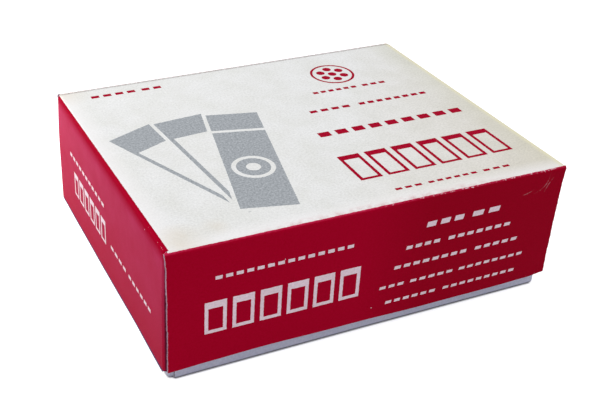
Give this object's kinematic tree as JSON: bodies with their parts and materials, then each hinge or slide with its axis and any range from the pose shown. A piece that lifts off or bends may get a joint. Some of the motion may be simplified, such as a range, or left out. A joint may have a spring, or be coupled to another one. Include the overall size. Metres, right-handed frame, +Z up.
{
  "type": "box of microscope slides",
  "caption": "Low two-piece card box, a red and white printed lid over a plain tray, packed with plain glass microscope slides standing on edge.",
  "frame": {"origin": "middle of the tray's underside, on the surface the box stands on", "axes": "+X along the slides and the long side of the box, +Y through the row of slides, +Z up, the way the lid lifts"},
  "size_m": [0.081, 0.065, 0.0277],
  "materials": {
    "tray_card": "uncoated white-lined box card, folded",
    "lid_card": "printed red and white box card with a thin satin varnish, folded",
    "slide_glass": "clear float glass with ground edges"
  },
  "bodies": {
    "tray": {"tray": "tray_card", "slide_01": "slide_glass", "slide_02": "slide_glass", "slide_03": "slide_glass", "slide_04": "slide_glass", "slide_05": "slide_glass", "slide_06": "slide_glass", "slide_07": "slide_glass", "slide_08": "slide_glass", "slide_09": "slide_glass", "slide_10": "slide_glass", "slide_11": "slide_glass", "slide_12": "slide_glass", "slide_13": "slide_glass", "slide_14": "slide_glass", "slide_15": "slide_glass", "slide_16": "slide_glass", "slide_17": "slide_glass", "slide_18": "slide_glass", "slide_19": "slide_glass", "slide_20": "slide_glass", "slide_21": "slide_glass", "slide_22": "slide_glass", "slide_23": "slide_glass", "slide_24": "slide_glass", "slide_25": "slide_glass", "slide_26": "slide_glass", "slide_27": "slide_glass", "slide_28": "slide_glass", "slide_29": "slide_glass", "slide_30": "slide_glass", "slide_31": "slide_glass", "slide_32": "slide_glass", "slide_33": "slide_glass", "slide_34": "slide_glass", "slide_35": "slide_glass", "slide_36": "slide_glass", "slide_37": "slide_glass", "slide_38": "slide_glass", "slide_39": "slide_glass", "slide_40": "slide_glass", "slide_41": "slide_glass", "slide_42": "slide_glass", "slide_43": "slide_glass", "slide_44": "slide_glass", "slide_45": "slide_glass", "slide_46": "slide_glass", "slide_47": "slide_glass", "slide_48": "slide_glass", "slide_49": "slide_glass", "slide_50": "slide_glass"},
    "lid": {"lid": "lid_card"}
  },
  "joints": [
    {"name": "lid_lift", "type": "slide", "parent": "tray", "child": "lid", "axis": [0, 0, 1], "range_m": [0, 0.032]}
  ]
}
